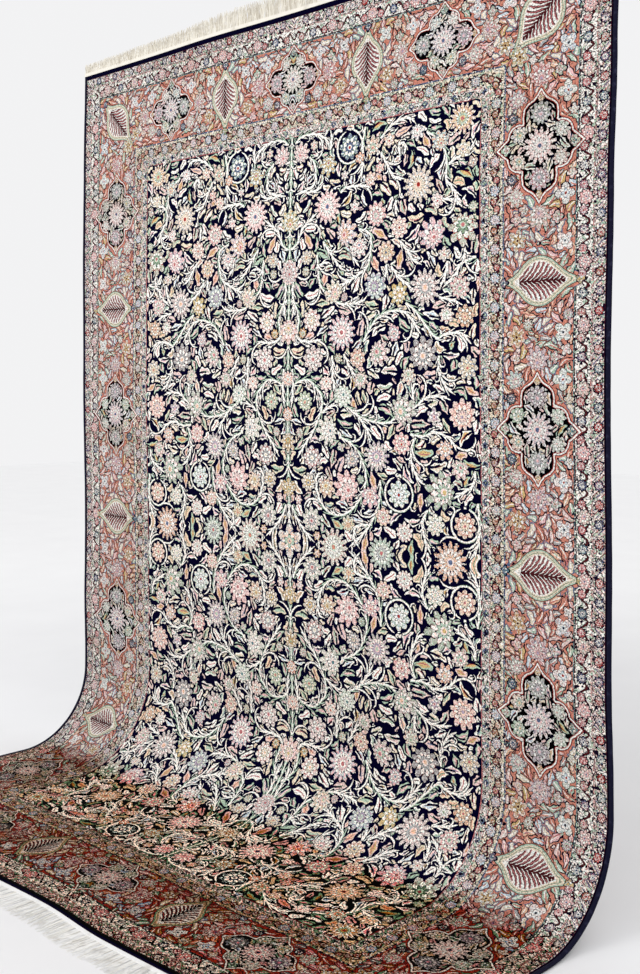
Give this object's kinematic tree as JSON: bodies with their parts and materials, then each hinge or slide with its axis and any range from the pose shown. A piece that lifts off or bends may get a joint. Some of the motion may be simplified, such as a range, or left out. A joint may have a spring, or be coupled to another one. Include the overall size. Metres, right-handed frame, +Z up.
{
  "type": "kashmir silk rug",
  "caption": "Hand-knotted silk pile rug hung from its top edge, its foot bent out and lying flat on the floor, with overcast sides and a cut fringe at both ends.",
  "frame": {"origin": "centre of the bounding box's underside, on the floor", "axes": "+Z up, +X across the rug's width with the pile side seen from -Y, +Y towards the wall it hangs on"},
  "size_m": [2.03, 0.9356, 2.3368],
  "materials": {
    "silk_pile": "knotted silk pile with a nap",
    "navy_overcasting": "overcast silk cord",
    "fringe_yarn": "cut undyed warp yarn"
  },
  "bodies": {
    "root": {"rug_body": "silk_pile", "left_binding": "navy_overcasting", "right_binding": "navy_overcasting", "top_fringe": "fringe_yarn", "floor_fringe": "fringe_yarn"}
  },
  "joints": []
}
